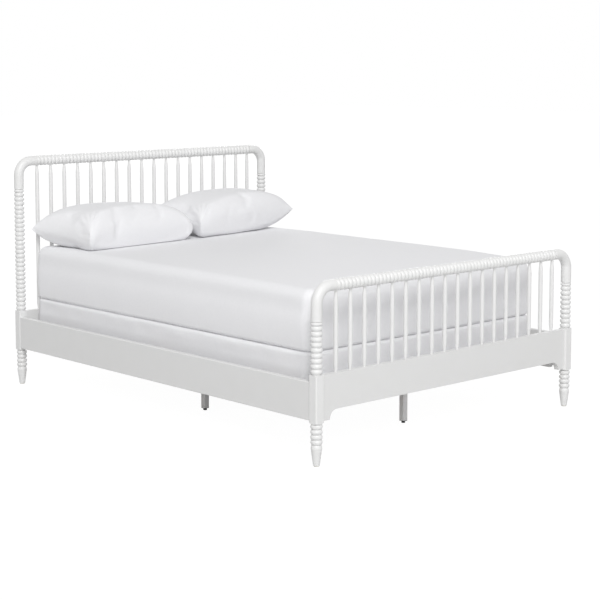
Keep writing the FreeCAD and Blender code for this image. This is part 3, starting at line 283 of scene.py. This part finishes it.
def woven_fabric(name, light, dark, spacing):
    """Plain white weave: two crossing sets of threads as relief, and a faint mottle."""
    material, tree, output = new_material(name)
    place = add_node(tree, "ShaderNodeTexCoord").outputs["Object"]
    # Threads are 0.3 mm apart in the cloth, and far too fine to show from across a room. They are
    # drawn as soft ribs, spacing metres apart. A wave texture has 20 radians to its unit.
    weave = []
    for axis in ("X", "Y"):
        weave.append(add_node(tree, "ShaderNodeTexWave", {
            "Vector": place, "Scale": 2 * math.pi / (20 * spacing), "Distortion": 0.6,
            "Detail": 1.0}, wave_type="BANDS", bands_direction=axis))
    crossed = add_node(tree, "ShaderNodeMath", {
        0: weave[0].outputs["Fac"], 1: weave[1].outputs["Fac"]}, operation="ADD")
    slub_width = 0.012
    slub = add_node(tree, "ShaderNodeTexNoise", {
        "Vector": place, "Scale": 1 / slub_width, "Detail": 3.0})
    height = add_node(tree, "ShaderNodeMath", {
        0: crossed.outputs["Value"], 1: slub.outputs["Fac"]}, operation="ADD")
    relief = add_node(tree, "ShaderNodeBump", {
        "Height": height.outputs["Value"], "Strength": 0.25, "Distance": 0.0002})
    tone = add_node(tree, "ShaderNodeMixRGB", {
        "Fac": slub.outputs["Fac"], "Color1": linear(dark), "Color2": linear(light)})
    shader = add_node(tree, "ShaderNodeBsdfPrincipled", {
        "Base Color": tone.outputs["Color"], "Roughness": 0.9, "Sheen Weight": 0.15,
        "Sheen Roughness": 0.4, "Specular IOR Level": 0.2, "Normal": relief.outputs["Normal"]})
    tree.links.new(shader.outputs["BSDF"], output.inputs["Surface"])
    return material


def padded_block(name, node, corner, top_edge, low_edge, side, step):
    """A closed padded block in a node's box: rounded in plan, with soft edges and full sides.

    The wall is a stack of rounded outlines; side(share) says how far it stands out at each share
    of its height. The top and the underside close it with rings that shrink towards the middle.
    """
    low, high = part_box(node)
    middle, height = (low + high) / 2, high.z - low.z
    half_x, half_y = (high.x - low.x) / 2, (high.y - low.y) / 2
    x_steps, y_steps, corner_steps = round(2 * half_x / step), round(2 * half_y / step), 9
    tightest_corner = 0.004
    rim = min(half_x, half_y)

    def rounded_outline(inset):
        """Points round a rounded rectangle that is drawn in by inset, anticlockwise."""
        radius = max(corner - inset, tightest_corner)
        x_flat, y_flat = half_x - inset - radius, half_y - inset - radius
        sides = (((1, -1), (0, 2 * y_flat), y_steps), ((1, 1), (-2 * x_flat, 0), x_steps),
                 ((-1, 1), (0, -2 * y_flat), y_steps), ((-1, -1), (2 * x_flat, 0), x_steps))
        points = []
        for quarter, ((sign_x, sign_y), run, steps) in enumerate(sides):
            for index in range(corner_steps):
                turn = math.pi / 2 * (quarter - 1 + index / (corner_steps - 1))
                points.append(Vector((sign_x * x_flat + radius * math.cos(turn),
                                      sign_y * y_flat + radius * math.sin(turn), 0)))
            corner_end = points[-1].copy()
            points += [corner_end + Vector((*run, 0)) * index / steps for index in range(1, steps)]
        return points

    edge_steps = 8
    quarter_turns = [math.pi / 2 * index / edge_steps for index in range(edge_steps + 1)]
    wall = height - low_edge - top_edge
    wall_steps = round(wall / step)
    top_steps = round((rim - top_edge) / step)
    rings = [(rim * share, 0.0) for share in (0.94, 0.75, 0.5, 0.28, 0.14, 0.07)]
    rings += [(low_edge * (1 - math.sin(turn)), low_edge * (1 - math.cos(turn)))
              for turn in quarter_turns]
    rings += [(-side(index / wall_steps), low_edge + wall * index / wall_steps)
              for index in range(1, wall_steps)]
    rings += [(top_edge * (1 - math.cos(turn)), height - top_edge * (1 - math.sin(turn)))
              for turn in quarter_turns]
    rings += [(top_edge + (rim - top_edge) * index / top_steps, height)
              for index in range(1, top_steps)]

    mesh = bmesh.new()
    previous = None
    for inset, rise in rings:
        ring = [mesh.verts.new(point + Vector((middle.x, middle.y, low.z + rise)))
                for point in rounded_outline(inset)]
        if previous is None:
            mesh.faces.new(ring[::-1])
        else:
            for index, vert in enumerate(ring):
                mesh.faces.new((previous[index - 1], previous[index], vert, ring[index - 1]))
        previous = ring
    mesh.faces.new(previous)
    data = bpy.data.meshes.new(name)
    mesh.to_mesh(data)
    mesh.free()
    data.polygons.foreach_set("use_smooth", [True] * len(data.polygons))
    piece = bpy.data.objects.new(name, data)
    bpy.context.scene.collection.objects.link(piece)
    return piece


def ripple(piece, shift):
    """Moves each point along its normal by shift(place, normal)."""
    moves = [shift(vert.co, vert.normal) for vert in piece.data.vertices]
    normals = [vert.normal.copy() for vert in piece.data.vertices]
    for vert, normal, move in zip(piece.data.vertices, normals, moves):
        vert.co += normal * move


base_low, base_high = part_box("box_spring")


def base_cover_slack(place, normal):
    """Soft ripples of up to 4 mm, most of them in the slack band below the top edge.

    The waves are about 140 mm long, the fine ones 50 mm and the broad ones 430 mm.
    """
    up = (place.z - base_low.z) / (base_high.z - base_low.z)
    band_middle, band_width = 0.84, 0.13
    band = math.exp(-((up - band_middle) / band_width) ** 2)
    wave = noise.noise(Vector((place.x * 7, place.y * 7, place.z * 16)))
    fine = noise.noise(Vector((place.x * 19, place.y * 19, place.z * 30 + 5)))
    broad = noise.noise(Vector((place.x * 2.3, place.y * 2.3, place.z * 4 + 9)))
    return 0.0045 * (1 - abs(normal.z)) * (band * (wave + 0.5 * fine) + 0.5 * broad)


def base_side(share):
    """The cover is drawn in a little under its top edge, and lies flat on the frame below."""
    fullness = tuck = 0.002
    tuck_height, tuck_width = 0.80, 0.07
    return (fullness * math.sin(math.pi * share)
            - tuck * math.exp(-((share - tuck_height) / tuck_width) ** 2))


base_piece = padded_block("box_spring_cover", "box_spring", corner=0.045, top_edge=0.016,
                          low_edge=0.010, side=base_side, step=0.014)
ripple(base_piece, base_cover_slack)
base_piece.data.materials.append(
    woven_fabric("woven_polycotton_base_cover", "#F3F3F5", "#EEEEF0", spacing=0.0126))
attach(base_piece, "box_spring_body")
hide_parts("box_spring")

# --------------------------------------------------- mattress
# A foam and spring mattress in its white woven cover. The cover is drawn over soft edges; the top
# is a little crowned and lies a centimetre higher on the right.

mattress_low, mattress_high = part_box("mattress")
mattress_middle = (mattress_low + mattress_high) / 2


def smooth_step(value):
    """0 below 0, 1 above 1, and a soft rise between."""
    value = min(max(value, 0.0), 1.0)
    return value * value * (3 - 2 * value)


def mattress_top(x, y):
    """Height of the top of the mattress: lower on the left, and towards both ends."""
    across = (x - mattress_middle.x) / (mattress_high.x - mattress_middle.x)
    along = abs(y - mattress_middle.y) / (mattress_high.y - mattress_middle.y)
    crown, lean = 0.010, 0.005
    return mattress_high.z + (crown + lean * across) * max(0.0, 1 - along ** 5)


def cover_pulls(place, normal):
    """Broad shallow waves of 3 mm in the sides, and slanting pulls of 2 mm all over."""
    broad = noise.noise(Vector((place.x * 1.7, place.y * 1.7, place.z * 5 + 3)))
    pull = noise.noise(Vector((place.x * 6 + place.y * 4, place.y * 3 - place.x * 2, place.z * 2)))
    return 0.003 * (1 - abs(normal.z)) * broad + 0.0017 * pull


def mattress_side(share):
    """The side draws in below the top edge, and swells again in its lower two thirds."""
    fullness, tuck = 0.005, 0.003
    tuck_height, tuck_width = 0.80, 0.16
    return (fullness * math.sin(math.pi * share) ** 0.8
            - tuck * math.exp(-((share - tuck_height) / tuck_width) ** 2))


mattress_piece = padded_block("mattress_in_cover", "mattress", corner=0.046, top_edge=0.044,
                              low_edge=0.016, side=mattress_side, step=0.012)
for vert in mattress_piece.data.vertices:
    share = (vert.co.z - mattress_low.z) / (mattress_high.z - mattress_low.z)
    vert.co.z += (mattress_top(vert.co.x, vert.co.y) - mattress_high.z) * smooth_step(share)
ripple(mattress_piece, cover_pulls)
mattress_piece.data.materials.append(
    woven_fabric("woven_polyester_mattress_cover", "#F3F3F5", "#EFEFF1", spacing=0.0101))
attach(mattress_piece, "mattress_body")
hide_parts("mattress")

# --------------------------------------------------- pillows
# Two plump pillows in plain white cases, side by side at the headboard. Each case is two layers
# sewn round the edge: the outer corners stay as soft points, the long sides draw in, and the case
# puckers over its front corner.

pillow_case = woven_fabric("woven_cotton_pillowcase", "#F2F2F4", "#EEEEF0", spacing=0.0088)

# Seam corners (front left, front right, back right, back left), the rise over the seam and the
# drop under it, and how squarely the filling reaches the ends, the back and the front. The blunt
# front corners are stuffed full, so that the seam's corner lies on a rounded edge.
PILLOWS = {
    "left_pillow": {
        "corners": ((-0.630, 0.574, 0.697), (-0.013, 0.618, 0.696),
                    (-0.004, 0.955, 0.680), (-0.691, 0.957, 0.712)),
        "rise": 0.119, "drop": 0.082, "end": (3.1, 0.47), "back": (3.9, 0.58),
        "front": (7.0, 0.44), "blunt": (1.0, 0.8)},
    "right_pillow": {
        "corners": ((0.028, 0.602, 0.700), (0.675, 0.674, 0.737),
                    (0.668, 0.955, 0.737), (-0.035, 0.960, 0.745)),
        "rise": 0.106, "drop": 0.088, "end": (2.6, 0.66), "back": (3.2, 0.54),
        "front": (6.0, 0.44), "blunt": (1.0, 0.0)},
}
PILLOW_COLUMNS, PILLOW_ROWS = 72, 46
# How far the middle of each side draws in between its corners.
DRAWN_IN = 0.012
# Powers of the blunt corners in the upper (1) and lower (-1) layer, and how much squarer the
# front is underneath, where it rests on the mattress.
BLUNT_POWER = {1: 0.34, -1: 0.20}
SQUARER_UNDERNEATH = 0.6


def filled_shape(pillow, across, along, layer):
    """Where a point of the case lies: across and along run from -1 to 1, layer is 1 or -1."""
    front_left, front_right, back_right, back_left = [Vector(c) for c in pillow["corners"]]
    front = front_left.lerp(front_right, (across + 1) / 2)
    back = back_left.lerp(back_right, (across + 1) / 2)
    place = front.lerp(back, (along + 1) / 2)
    place.x -= DRAWN_IN * across * abs(across) * (1 - along ** 2)
    place.y -= DRAWN_IN * along * abs(along) * (1 - across ** 2)
    blunt = pillow["blunt"][0 if across < 0 else 1]
    blunt *= smooth_step((abs(across) - 0.3) / 0.7) * smooth_step((-along + 0.1) / 1.1)
    full = 1.0
    for share, side in ((across, "end"), (along, "front" if along < 0 else "back")):
        reach, power = pillow[side]
        if layer < 0 and side == "front":
            power *= SQUARER_UNDERNEATH
        power += (BLUNT_POWER[layer] - power) * blunt
        full *= max(0.0, 1 - abs(share) ** reach) ** power
    place.z += full * (pillow["rise"] if layer > 0 else -pillow["drop"])
    return place


def sewn_case(name, pillow):
    """The case as two layers of a grid that share their border."""
    mesh = bmesh.new()
    layer_mark = mesh.verts.layers.float.new("layer")
    grid = {}
    for layer in (1, -1):
        for column in range(PILLOW_COLUMNS + 1):
            for row in range(PILLOW_ROWS + 1):
                border = column in (0, PILLOW_COLUMNS) or row in (0, PILLOW_ROWS)
                if border and layer < 0:
                    grid[layer, column, row] = grid[1, column, row]
                    continue
                # Points crowd towards the border, where the shape is steepest.
                across = math.sin(math.pi * (column / PILLOW_COLUMNS - 0.5))
                along = math.sin(math.pi * (row / PILLOW_ROWS - 0.5))
                vert = mesh.verts.new(filled_shape(pillow, across, along, layer))
                vert[layer_mark] = 0 if border else layer
                grid[layer, column, row] = vert
        for column in range(PILLOW_COLUMNS):
            for row in range(PILLOW_ROWS):
                face = [grid[layer, column, row], grid[layer, column + 1, row],
                        grid[layer, column + 1, row + 1], grid[layer, column, row + 1]]
                mesh.faces.new(face if layer > 0 else face[::-1])
    data = bpy.data.meshes.new(name)
    mesh.to_mesh(data)
    mesh.free()
    piece = bpy.data.objects.new(name, data)
    bpy.context.scene.collection.objects.link(piece)
    return piece


def apply_modifiers(piece):
    """Writes what the modifiers show into the mesh, and takes them away."""
    shown = piece.evaluated_get(bpy.context.evaluated_depsgraph_get())
    data = bpy.data.meshes.new_from_object(shown)
    piece.modifiers.clear()
    piece.data = data


SETTLING_FRAMES = 20


def let_fabric_settle(piece, spare_fabric, furthest):
    """Lets pressure and spare fabric pucker a case, moving no point further than given."""
    start = [vert.co.copy() for vert in piece.data.vertices]
    cloth = piece.modifiers.new("filling", "CLOTH")
    cloth.settings.quality = 6
    cloth.settings.mass = 0.12
    cloth.settings.tension_stiffness = 30
    cloth.settings.compression_stiffness = 30
    cloth.settings.shear_stiffness = 8
    cloth.settings.bending_stiffness = 0.2
    cloth.settings.air_damping = 2
    cloth.settings.shrink_min = -spare_fabric
    cloth.settings.use_pressure = True
    cloth.settings.uniform_pressure_force = 4
    cloth.settings.effector_weights.gravity = 0
    cloth.point_cache.frame_start = 1
    cloth.point_cache.frame_end = SETTLING_FRAMES
    for step in range(1, SETTLING_FRAMES + 1):
        bpy.context.scene.frame_set(step)
    apply_modifiers(piece)
    bpy.context.scene.frame_set(1)
    for vert, before in zip(piece.data.vertices, start):
        move = vert.co - before
        if move.length > furthest:
            vert.co = before + move * furthest / move.length


PUCKER_ANGLES = (28, 44, 58, 71, 84)
PUCKER_DEPTH, PUCKER_WIDTH, PUCKER_LENGTH = 0.006, 0.008, 0.13
CLEAR_OF_MATTRESS = 0.002


def pucker_front_corner(piece, pillow):
    """Short creases that fan out over the top layer from the front left corner of the seam."""
    corner = Vector(pillow["corners"][0])
    layer = piece.data.attributes["layer"].data
    moves = []
    for index, vert in enumerate(piece.data.vertices):
        away = vert.co - corner
        flat = math.hypot(away.x, away.y)
        move = 0.0
        if layer[index].value > 0.2 and flat < PUCKER_LENGTH:
            fade = math.sin(math.pi * flat / PUCKER_LENGTH)
            for angle in PUCKER_ANGLES:
                turn = math.radians(angle)
                aside = away.y * math.cos(turn) - away.x * math.sin(turn)
                move -= PUCKER_DEPTH * fade * math.exp(-(aside / PUCKER_WIDTH) ** 2)
        moves.append(move)
    for vert, normal, move in zip(
            piece.data.vertices, [vert.normal.copy() for vert in piece.data.vertices], moves):
        vert.co += normal * move


for node, pillow in PILLOWS.items():
    pillow_piece = sewn_case(node + "_in_case", pillow)
    let_fabric_settle(pillow_piece, spare_fabric=0.012, furthest=0.008)
    smoother = pillow_piece.modifiers.new("smoother", "SUBSURF")
    smoother.levels = smoother.render_levels = 1
    apply_modifiers(pillow_piece)
    pucker_front_corner(pillow_piece, pillow)
    for vert in pillow_piece.data.vertices:
        vert.co.z = max(vert.co.z, mattress_top(vert.co.x, vert.co.y) + CLEAR_OF_MATTRESS)
    pillow_piece.data.polygons.foreach_set("use_smooth", [True] * len(pillow_piece.data.polygons))
    pillow_piece.data.materials.append(pillow_case)
    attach(pillow_piece, node + "_body")
    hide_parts(node)

# --------------------------------------------------- studio
# A white sweep without an edge: the floor shows as white, with the bed's own soft shadow, and
# everything above it is white too.

FLOOR_HALF, JUST_UNDER_FEET = 30, -0.0005
floor_mesh = bpy.data.meshes.new("floor")
floor_mesh.from_pydata([(-FLOOR_HALF, -FLOOR_HALF, 0), (FLOOR_HALF, -FLOOR_HALF, 0),
                        (FLOOR_HALF, FLOOR_HALF, 0), (-FLOOR_HALF, FLOOR_HALF, 0)],
                       [], [(0, 1, 2, 3)])
floor = bpy.data.objects.new("floor", floor_mesh)
bpy.context.scene.collection.objects.link(floor)
floor.location.z = JUST_UNDER_FEET
sweep, tree, output = new_material("white_painted_sweep")
paint = add_node(tree, "ShaderNodeBsdfDiffuse", {"Color": linear("#E4E4E4")})
# Nine tenths of what the camera sees of the sweep is plain white, and the rest is its paint with
# the bed's shadow.
SHARE_OF_WHITE = 0.9
glow = add_node(tree, "ShaderNodeEmission", {"Color": (1, 1, 1, 1), "Strength": 1.08})
path = add_node(tree, "ShaderNodeLightPath")
seen = add_node(tree, "ShaderNodeMath", {
    0: path.outputs["Is Camera Ray"], 1: SHARE_OF_WHITE}, operation="MULTIPLY")
blend = add_node(tree, "ShaderNodeMixShader", {
    0: seen.outputs["Value"], 1: paint.outputs["BSDF"], 2: glow.outputs["Emission"]})
tree.links.new(blend.outputs["Shader"], output.inputs["Surface"])
floor_mesh.materials.append(sweep)

world = bpy.data.worlds.new("studio")
bpy.context.scene.world = world
world.use_nodes = True
tree = world.node_tree
tree.nodes.clear()
path = add_node(tree, "ShaderNodeLightPath")
direct = add_node(tree, "ShaderNodeMath", {
    0: path.outputs["Is Camera Ray"], 1: path.outputs["Is Glossy Ray"]}, operation="MAXIMUM")
direct = add_node(tree, "ShaderNodeMath", {
    0: direct.outputs["Value"], 1: path.outputs["Is Transmission Ray"]}, operation="MAXIMUM")
# The room is seen and mirrored as white, and lights the bed at less than half that.
ROOM_LIGHT = 0.45
strength = add_node(tree, "ShaderNodeMapRange", {
    "Value": direct.outputs["Value"], "To Min": ROOM_LIGHT, "To Max": 1.0})
sky = add_node(tree, "ShaderNodeBackground", {
    "Color": (1, 1, 1, 1), "Strength": strength.outputs["Result"]})
output = add_node(tree, "ShaderNodeOutputWorld")
tree.links.new(sky.outputs["Background"], output.inputs["Surface"])


SOFTBOX_DISTANCE, SOFTBOX_SIZE = 16.0, 4.5


def softbox(name, way, watts):
    """A square softbox that looks at the middle of the bed from the given way."""
    light = bpy.data.lights.new(name, "AREA")
    light.shape = "SQUARE"
    light.size = SOFTBOX_SIZE
    light.energy = watts
    lamp = bpy.data.objects.new(name, light)
    bpy.context.scene.collection.objects.link(lamp)
    way = Vector(way).normalized()
    lamp.location = Vector((0, 0, 0.5)) + SOFTBOX_DISTANCE * way
    lamp.rotation_euler = way.to_track_quat("Z", "Y").to_euler()


# The main softbox hangs high over the camera, and a weaker one stands just above the camera. A
# third stands low behind the headboard, beyond its right post, and lights the far edges of the
# turnings.
softbox("high_softbox", (-0.42, -0.60, 0.68), watts=1060)
softbox("tripod_softbox", (-0.60, -0.72, 0.34), watts=440)
softbox("rim_softbox", (0.64, 0.74, 0.16), watts=430)

bpy.context.scene.view_settings.view_transform = "Standard"
